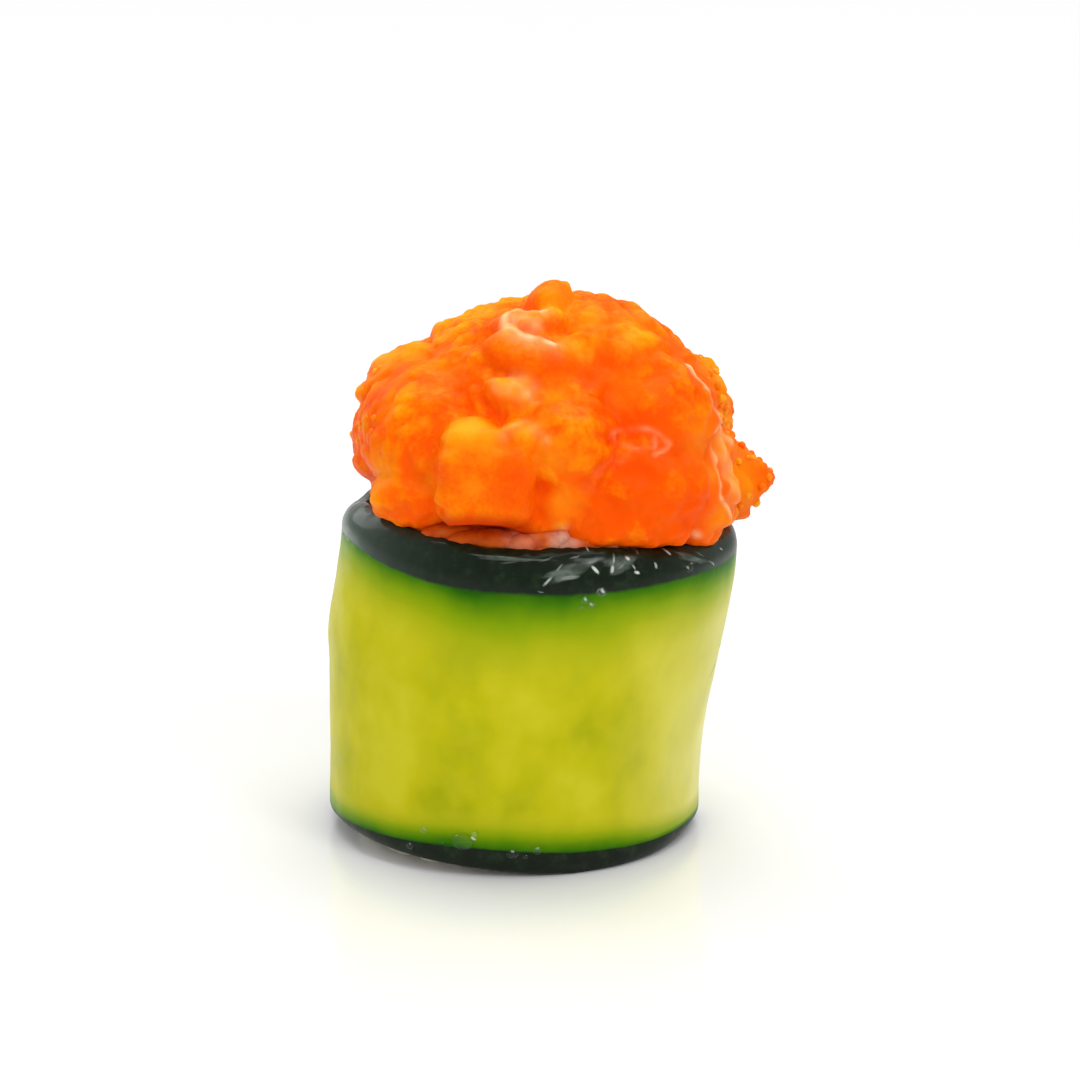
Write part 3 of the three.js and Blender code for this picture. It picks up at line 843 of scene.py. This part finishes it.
# The deep spots are painted shade in creases and hollows, partly a redder sauce.
DEEP_SHADE_SPOTS = [
    (-81, 47, 2.2, 0.7), (-61, 38, 2.8, 0.8), (-104, 46, 1.8, 0.6), (-66, 27, 2.4, 0.9),
    (-60, 22, 2, 1), (-52, 21, 1.8, 0.8), (-46, 9, 2.6, 0.75), (-56, 5, 2.2, 0.9),
    (-40, -8, 2.6, 0.7), (-97, 6, 2.6, 0.85), (-101, -1, 2.4, 0.85), (-94, 12, 1.8, 0.5),
    (-111, 28, 1.2, 0.7), (-123, 8, 1.3, 0.8), (-125, 33, 1.6, 0.6), (-137, 25, 1.6, 0.4),
    (-80, 16, 1.7, 0.6), (60, 25, 3, 0.5), (110, 35, 2.6, 0.5), (150, 35, 2.4, 0.4),
    (10, 30, 2.4, 0.4), (-62, -1, 0.4, 1), (-74, -8, 0.4, 1), (-99, 13, 1.7, 0.6),
    (-134, 54, 1.2, 0.4), (-158, 27, 2, 0.35), (-156, 20, 2.6, 0.6), (-146, 12, 2.2, 0.5)]
# The pale spots are painted glints.
PAINTED_GLINT_SPOTS = [(-98, 37, 0.7, 0.3), (-83, -14, 0.5, 0.35), (-36, -18, 0.4, 0.6)]

# Lines over the skin: bearings and lifts in degrees, half width in millimetres, how far the skin
# stands up along the line, and its colour: above 0 pale, a painted highlight, partly pale seafood,
# and below 0 deep orange, painted shade along a crease.
STROKES = [
    # the folded strip under the top: pale streaks, partly painted highlights, and a crease of
    # painted shade
    ((-90, -104, -122, -130), (73.5, 74, 73, 69), 0.45, 0.2, 0.7),
    ((-95, -108, -124, -130), (72, 72.5, 72, 68), 0.9, 0.1, 0.35),
    ((-130, -125, -114), (69, 63.5, 59.5), 0.55, 0.15, 0.85),
    ((-114, -104, -90, -84), (59, 57, 56, 54.8), 0.5, 0.15, 0.85),
    ((-114, -104, -90, -84), (59, 57, 56, 54.8), 1, 0.1, 0.4),
    ((-118, -108, -97), (67, 65.5, 63.5), 0.8, -0.1, 0.4),
    ((-106, -94, -84), (62, 60.5, 59), 0.4, -0.45, -0.7),
    # the pale piece over the chunk, partly a painted highlight
    ((-111, -108, -102, -96), (40.5, 42, 42.5, 40), 0.6, 0.15, 0.3),
    ((-104, -99, -93), (38, 37, 35), 0.5, 0.12, 0.55),
    ((-111, -104, -94), (36, 36, 35.5), 0.7, 0.1, 0.3),
    # seams between the pieces, mostly darkened as painted shade
    ((-68, -58, -53, -47, -43), (66, 63, 58, 54, 51), 0.25, -0.12, -0.6),
    ((-125, -120, -110, -97, -84, -74), (52, 48, 43.5, 42, 39.5, 34), 0.9, -0.3, -0.8),
    ((-77, -71, -68, -65, -66, -70), (30, 27, 22, 16.5, 11, 7.5), 0.45, -0.25, -0.5),
    ((-75, -74, -69, -60, -54), (1, 7.5, 10.5, 12, 12), 0.4, -0.2, -0.4),
    ((-74, -72, -67, -60), (0, 6, 8.5, 10), 0.6, 0.15, 0.06),
    ((-125, -123, -122, -124, -125, -121), (17.5, 13.5, 9, 3, -3.5, -6), 0.5, -0.5, -0.7),
    ((-88, -89, -91, -92), (8, 1.5, -4.5, -8.5), 0.6, -0.1, -0.3),
    ((-120, -116, -112, -107, -104, -103), (12.5, 11, 11, 12.5, 15.5, 18.5), 0.4, -0.22, -0.35),
    ((-104, -101, -98, -93, -89), (18, 21.5, 24.5, 21.5, 17.5), 0.5, 0.2, 0.15),
    # the edge of the sauce on the right, which splits round a thin flap, paled along it as a
    # painted highlight
    ((-21.6, -23, -23.7, -26, -25.4, -24.2, -23, -22.4),
     (33, 30.6, 28, 24.5, 21.5, 18.5, 15.7, 13), 0.22, 0.3, 0.95),
    ((-22.4, -25.3, -25.2, -25.3, -26, -27.8, -29, -25.5, -24.4),
     (13, 11, 7.3, 2.3, -1.7, -4.5, -7.5, -11.7, -15), 0.24, 0.3, 0.8),
    ((-22.4, -17, -15, -17, -17, -15, -18), (13, 9, 5, 2, -2, -7, -12), 0.24, 0.25, 0.75),
    ((-19, -20, -21, -20), (8, 2, -4, -9), 1.2, 0, 0.28),
    # the curled flake: its pale rim partly a painted highlight, its hollow painted shade
    ((-64.4, -58, -52, -49.3, -46.8, -45.2, -46.8, -51),
     (18.7, 19.1, 18.7, 17.8, 15.3, 11.8, 10.4, 9.4), 0.25, 0.2, 0.3),
    ((-48, -48.4, -50), (16.4, 13.8, 11.1), 0.2, 0.1, 0.25),
    ((-64.4, -61.6, -58, -55, -50.5), (18.7, 15.7, 13.4, 12, 11.5), 0.25, 0.1, 0.15),
    ((-60, -55, -51), (15.8, 15.5, 14.5), 0.7, -0.3, -0.8)]


def grain_mask(points):
    """Where the skin is grainy with roe: the left cheek, the far right and the back."""
    x, y, _ = points.T
    left = 0.35 * smooth_step(-10.5, -14, x)
    right = smooth_step(16.5, 18.5, x) * smooth_step(-5, -2.5, y)
    return np.maximum.reduce([left, right, 0.8 * smooth_step(5, 10, y)])


def seat_on_rice(points):
    """Points below the rice's top are lifted onto it, and points that would enter the ribbon's
    band are lifted over it."""
    angle = bearing_of(points)
    rim = rim_height(angle)
    into = (drum_radius(angle, rim) - np.hypot(points[:, 0], points[:, 1])) / RIBBON_THICKNESS
    band = rim - top_skin(angle) * quarter_round(1 - np.clip(into, 0, 1))
    floor = np.where(into < 1, band, rim - RICE_BELOW_RIM) + 0.1
    seated = points.copy()
    seated[:, 2] = np.where(into > 0, np.maximum(points[:, 2], floor), points[:, 2])
    return seated


def make_heap():
    """The heap as seen from its centre: rings of directions from straight up to straight down,
    closer together at the front, each carried out to the skin and on by the sauce's relief."""
    columns, crowding = 560, 0.36
    spin = -full_ring(columns)
    spin = spin - crowding * np.cos(spin)
    tip = np.concatenate([np.linspace(0.4, 122, 158), np.linspace(126, 178, 12)])
    tip = np.radians(tip)[:, None]
    directions = round_axis(np.sin(tip), spin, np.cos(tip)).reshape(-1, 3)
    points = heap_skin(directions)
    push = side_by_side(*[soft_noise(points, 2.6, seed) for seed in (11, 12, 13)])
    moved = points + 0.5 * push
    broad, middle, small, crease = [soft_noise(moved, cell, seed) for cell, seed in
                                    ((3.4, 14), (1.7, 15), (0.9, 16), (2.7, 17))]
    crease = np.abs(crease)
    beads = bead_relief(moved, 1.15, 7)
    smooth = np.maximum.reduce([smooth_step(0.9, -0.3, lump_distance(points, LUMPS[name]))
                                for name in ("chunk", "chunk_dome", "roll")])
    relief = (0.34 * broad + 0.2 * middle + 0.12 * small + 0.12 * (beads - 0.5)
              + 0.75 * (crease - 0.35)) * (1 - 0.85 * smooth)
    relief *= 1 - 0.4 * smooth_step(-8, -13, points[:, 0])
    relief += grain_mask(points) * (0.16 * beads + 0.34 * bead_relief(moved, 2.1, 9) - 0.3)
    deep_shade, pale = patches(points, DEEP_SHADE_SPOTS), patches(points, PAINTED_GLINT_SPOTS)
    broken = np.clip(0.7 + 0.9 * soft_noise(points, 1.1, 23), 0.1, 1.1)
    for *line, width, rise, shade in STROKES:
        near = stroke(points, line, width) * broken
        relief += rise * near
        pale, deep_shade = np.maximum(pale, shade * near), np.maximum(deep_shade, -shade * near)
    # How deep a point lies in a cleft between lumps; clefts are darkened as painted shade.
    cleft_shade = np.clip(-heap_distance(points, blend=5.0) / 1.2, 0, 1)
    points = seat_on_rice(points + directions * relief[:, None])
    # Painted light and shade in the tone: the noises that raise the relief lighten it where it
    # stands up, clefts darken it, and it grows lighter higher up and darker towards the right.
    tone_and_shade = (0.6 + (1 - 0.7 * smooth) * (0.22 * broad + 0.22 * middle + 0.16 * (beads - 0.5)
                                       + 0.55 * (crease - 0.3)) - 0.45 * cleft_shade)
    tone_and_shade += 0.015 * np.clip(points[:, 2] - 37, -6, 9) - 0.018 * np.clip(points[:, 0] - 5, -2, 8)
    values = {"tone_and_shade": np.clip(tone_and_shade, 0, 1), "deep_shade": 0.75 * deep_shade, "calm": smooth,
              # Painted shade: the underside over the rice window is coloured a dark red orange.
              "sauce_and_shade": smooth_step(1.6, 0.2, lump_distance(points, RICE_WINDOW)),
              "golden_light": 0.85 * patches(points, GOLDEN_LIGHT_SPOTS), "pale": pale}
    values = {title: np.append(value, value[[0, -1]]) for title, value in values.items()}
    points, faces = close_poles(points.reshape(len(tip), columns, 3))
    piece = make_piece("seafood_heap", points, faces, topping_finish(), values)
    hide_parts("topping")


def make_roe():
    """Beads sunk part way into the heap's skin, thick where the skin is grainy and thin
    elsewhere, spread by the golden angle and kept by chance."""
    draw = np.random.default_rng(29)
    tried, covered = 5200, 1.42
    index = np.arange(tried) + 0.5
    lift = 1 - covered * index / tried
    directions = round_axis(np.sqrt(1 - lift * lift), index * GOLDEN_ANGLE, lift)
    directions += draw.normal(0, 0.012, directions.shape)
    directions /= np.linalg.norm(directions, axis=1)[:, None]
    points = heap_skin(directions)
    clear = points[:, 2] > rim_height(bearing_of(points)) + 0.9
    kept = clear & (draw.random(tried) < 0.6 * grain_mask(points) ** 1.5)
    points, directions = points[kept], directions[kept]
    count = len(points)
    size = ROE_DIAMETER / 2 * (0.7 + 0.4 * draw.random(count))
    size *= np.where(points[:, 0] < -6, 0.7, 0.9)
    points -= directions * (size * (0.5 + 0.5 * draw.random(count)))[:, None]
    tip = np.linspace(0.5, math.pi - 0.5, 5)[:, None]
    ball, ball_faces = close_poles(round_axis(np.sin(tip), -full_ring(8), np.cos(tip)))
    turns = turn_about(0, draw.random(count) * 3)
    placed, faces = scattered(ball, ball_faces, points, turns, size[:, None])
    shade = np.repeat(draw.random(count), len(ball))
    make_piece("roe", placed, faces, roe_finish(), {"shade": shade})


# --- water on the ribbon ---

def on_ribbon(bearing, sideways, height, rise):
    """Points over the ribbon's outer side, from a bearing in degrees, millimetres to one side of
    it, a height and a rise. The outer side is the drum, less the quarter rounds of the skins."""
    angle = np.radians(bearing) + sideways / BASE_RADIUS
    skin = top_skin(angle)
    into_top = np.clip((height - rim_height(angle) + skin) / skin, 0, 1)
    into_low = 1 - np.clip((height - foot_height(angle)) / bottom_skin(angle), 0, 1)
    face = (drum_radius(angle, height) - RIBBON_THICKNESS * quarter_round(into_top)
            - BOTTOM_SKIN_INSET * quarter_round(into_low))
    return round_axis(face + rise, angle, height)


def lens_rings(out, back, base, arch):
    """A thin shape's rings: how far each reaches, out along a base at one height and back over
    its arch, and how high it stands."""
    rise = np.concatenate([np.full(len(out), base), arch])
    return np.concatenate([out, back])[:, None], rise[:, None]


def make_liquid(name, shapes, material, values=None):
    """A piece of thin closed shapes, each an array of rings, which cast no shadow."""
    closed = [close_poles(rings) for rings in shapes]
    points = np.concatenate([whole for whole, _ in closed])
    faces = np.concatenate([sides + number * len(whole)
                            for number, (whole, sides) in enumerate(closed)])
    piece = make_piece(name, points, faces, material, values)
    piece.visible_shadow = False


# Drops on the front: bearing in degrees, height, half width and half height.
FRONT_DROPS = [
    (-68.4, 26.3, 0.45, 0.4), (-63.4, 26.9, 0.45, 0.4), (-66.6, 25.8, 0.4, 0.35),
    (-69.5, 25.6, 0.35, 0.3), (-35.2, 27.7, 0.4, 0.4), (-50, 29.9, 0.3, 0.25),
    (-105.3, 3.4, 1.0, 0.8), (-101.6, 4.2, 0.3, 0.3), (-117.8, 4.1, 0.45, 0.4),
    (-122.6, 2.3, 0.4, 0.35), (-90, 2.4, 0.6, 0.45), (-82.5, 2.7, 0.5, 0.45),
    (-86, 2.1, 0.3, 0.2), (-112, 3.2, 0.3, 0.2)]

# Painted glints on the front: pale streaks that stand for highlights on the wet skin and its
# drops, each from a bearing and height to another, with its half width in millimetres and how well
# it covers.
GLINT_STREAKS = [
    (-80.8, 27.8, -78, 28.6, 0.16, 0.6), (-77, 29.0, -74.5, 29.6, 0.1, 0.3),
    (-72, 30.0, -68.5, 30.15, 0.08, 0.3), (-65.5, 29.2, -64.2, 28.7, 0.19, 0.85),
    (-76, 28.4, -70, 28.5, 0.25, 0.2), (-65.4, 30.7, -65.4, 30.45, 0.11, 0.5),
    (-57.8, 30.0, -59.3, 29.2, 0.1, 0.4), (-59.4, 29.1, -60.1, 28.6, 0.18, 0.75),
    (-54.3, 29.6, -53.9, 29.5, 0.2, 0.9), (-55.5, 29.2, -58, 28.8, 0.08, 0.3),
    (-53.3, 29.0, -52.8, 28.6, 0.1, 0.4), (-52.9, 28.35, -52.1, 28.25, 0.17, 0.9),
    (-49.5, 30.0, -49.7, 29.7, 0.08, 0.4), (-46.0, 28.8, -46.2, 28.4, 0.13, 0.55),
    (-39.6, 29.4, -39.6, 29.2, 0.17, 0.8), (-36.2, 27.9, -35.7, 27.7, 0.14, 0.55),
    (-34.4, 28.1, -33.9, 28.0, 0.1, 0.45), (-30.5, 28.8, -28.5, 28.2, 0.06, 0.3),
    (-27, 27.7, -24.8, 27.1, 0.09, 0.45), (-19.7, 28.15, -19.4, 28.05, 0.14, 0.45),
    (-82, 29.8, -77, 30.15, 0.07, 0.2), (-94, 29.7, -88, 29.9, 0.07, 0.15),
    (-68.6, 26.5, -68.2, 26.3, 0.14, 0.65), (-63.5, 27.1, -62.9, 26.9, 0.14, 0.75),
    (-66.8, 25.9, -66.3, 25.8, 0.11, 0.55), (-82.2, 27.3, -80.8, 27.2, 0.08, 0.4),
    (-102.6, 3.9, -101.4, 3.7, 0.15, 0.7), (-107.6, 3.9, -106.8, 4.0, 0.09, 0.35),
    (-118, 4.3, -117.5, 4.2, 0.11, 0.5), (-122.8, 2.6, -122.3, 2.5, 0.1, 0.45),
    (-90.3, 2.7, -89.7, 2.65, 0.14, 0.6), (-82.8, 2.9, -82.2, 2.9, 0.13, 0.55),
    (-11, 16.6, -15.5, 15.1, 0.1, 0.5), (-9.2, 18.0, -9.5, 17.6, 0.09, 0.4),
    (196, 28.2, 189, 28.5, 0.18, 0.25), (202, 28.8, 199, 28.65, 0.12, 0.3)]

# Smears of juice on the front, greyed as a painted sheen: bearing, height, half width, half
# height, and slope.
SMEARS = [(-72.5, 29.0, 2.7, 0.7, 0.25), (-57, 29.2, 1.7, 0.8, 0.1), (-92, 30.1, 4.0, 0.2, -0.05),
          (-33, 28.4, 1.8, 0.4, -0.5)]


def make_drops():
    """Lenses of water with a sunken base and a rounded arch. Those round the back are drawn by
    chance, clear of the free end and of the layer that dips under it."""
    draw = np.random.default_rng(5)
    back_count = 18
    others = [(72 + 88 * draw.random(), 4 + 22 * draw.random(), 0.3 + 0.2 * draw.random(),
               0.3 + 0.2 * draw.random()) for _ in range(back_count)]
    bend = np.linspace(0, 1.5, 7)
    reach, rise = lens_rings(np.linspace(0.3, 0.9, 3), np.cos(bend), -0.1, 0.45 * np.sin(bend))
    spin = full_ring(20)
    flat_x, flat_z = reach * np.cos(spin), reach * np.sin(spin)
    bearing, lift, wide, tall = np.array(FRONT_DROPS + others).T[..., None, None]
    shapes = on_ribbon(bearing, wide * flat_x, lift + tall * flat_z, np.minimum(wide, tall) * rise)
    make_liquid("water_drops", shapes, water_finish())


def make_smears():
    """Thin uneven lenses of juice with a low raised rim, longer along the drum than tall, greyed
    as a painted sheen.
    """
    back = np.linspace(1, 0.05, 14)
    arch = 0.03 + 0.05 * np.sqrt(1 - back ** 2) + 0.07 * bell(back, 0.85, 0.12)
    reach, rise = lens_rings(np.linspace(0.1, 0.98, 14), back, 0.02, arch)
    spin = full_ring(48)
    uneven = 1 + 0.2 * np.sin(3 * spin + 1) + 0.12 * np.sin(5 * spin) + 0.05 * np.sin(11 * spin)
    flat_x, flat_z = reach * uneven * np.cos(spin), reach * uneven * np.sin(spin)
    bearing, lift, wide, tall, slope = np.array(SMEARS).T[..., None, None]
    height = lift + tall * flat_z + slope * wide * flat_x
    shapes = on_ribbon(bearing, wide * flat_x, height, rise)
    cover = np.append(smooth_step(1, 0.5, reach + 0 * spin), [1, 1])
    make_liquid("juice_film", shapes, painted_sheen_film_finish(), {"cover": np.tile(cover, len(SMEARS))})


def make_painted_glints():
    """Streaks of painted glints: low pale ovals along a line, their ends blunted by a power of the
    cosine.
    """
    back = np.linspace(1, 0.15, 4)
    arch = 0.09 * np.sqrt(1 - back ** 2) + 0.01
    reach, rise = lens_rings(np.linspace(0.2, 0.95, 4), back, -0.02, arch)
    spin = full_ring(16)
    along = reach * np.sign(np.cos(spin)) * np.abs(np.cos(spin)) ** 0.7
    across = reach * np.sin(spin)
    start, lift, end, end_lift, wide, share = np.array(GLINT_STREAKS).T[..., None, None]
    run, climb = BASE_RADIUS * np.radians(end - start), end_lift - lift
    length = np.hypot(run, climb)
    sideways, upwards = run / length, climb / length
    half = length / 2 + wide
    flat = half * along * sideways - wide * across * upwards
    height = (lift + end_lift) / 2 + half * along * upwards + wide * across * sideways
    shapes = on_ribbon((start + end) / 2, flat, height, rise * np.minimum(1, wide / 0.1))
    cover = np.outer(share, np.append(smooth_step(1.05, 0.3, reach + 0 * spin), [1, 1]))
    make_liquid("painted_glints", shapes, painted_glint_finish(), {"cover": cover})


# --- the floor, the lights and the camera ---

def make_floor():
    """A square sheet of floor, level with the foot of the rice."""
    half = 1500.0 * MM
    corners = half * np.array([(-1, -1, 0), (1, -1, 0), (1, 1, 0), (-1, 1, 0)])
    mesh = bpy.data.meshes.new("floor")
    mesh.from_pydata(corners, [], [(0, 1, 2, 3)])
    mesh.materials.append(floor_finish())
    floor = link_object("floor", mesh)


def aim(thing, place, target):
    """Puts a lamp or the camera at a place, in millimetres, and points it at a target."""
    place = np.array(place, dtype=float)
    away = place - target
    flat = math.hypot(away[0], away[1])
    thing.location = (place * MM).tolist()
    thing.rotation_euler = (math.atan2(flat, away[2]), 0, math.atan2(away[0], -away[1]))


def make_sun(name, direction, spread, strength, mirrored=True):
    """Light from far off in a direction, soft because it comes from a wide disc of sky. One
    that isn't mirrored lights a surface but makes no sheen on it."""
    lamp = bpy.data.lights.new(name, "SUN")
    lamp.angle = math.radians(spread)
    lamp.energy = strength
    thing = link_object(name, lamp)
    thing.visible_glossy = mirrored
    aim(thing, 500 * np.array(direction), (0, 0, 0))


def make_stage():
    """The floor, three soft lights and a small one, and an even white surround."""
    make_floor()
    make_sun("overhead_softbox", (0.1, 0.32, 0.94), 60, 2.0)
    make_sun("front_fill", (-0.1, -0.85, 0.35), 110, 1.25, mirrored=False)
    make_sun("left_strip", (-0.62, 0.65, 0.45), 40, 0.5)
    make_sun("small_softbox", (0.45, -0.5, 0.75), 16, 0.45)
    world = bpy.data.worlds.new("studio")
    world.use_nodes = True
    surround = world.node_tree.nodes["Background"].inputs
    surround["Color"].default_value = (1, 1, 1, 1)
    surround["Strength"].default_value = 0.48
    bpy.context.scene.world = world
    bpy.context.scene.view_settings.view_transform = "Standard"


def make_camera():
    """A long lens in front and a little above, level with the middle of the sushi."""
    distance, lift = 600.0, math.radians(17)
    target = np.array([2.48, 0, 26.9])
    camera = bpy.data.cameras.new("camera")
    camera.lens = 218.0
    camera.sensor_width = 36.0
    thing = link_object("camera", camera)
    aim(thing, target + distance * np.array([0, -math.cos(lift), math.sin(lift)]), target)
    bpy.context.scene.camera = thing


make_ribbon()
rice = rice_finish()
make_rice_core(rice)
make_rice_grains(rice)
make_heap()
make_roe()
make_drops()
make_smears()
make_painted_glints()
make_stage()
make_camera()

bpy.context.view_layer.update()
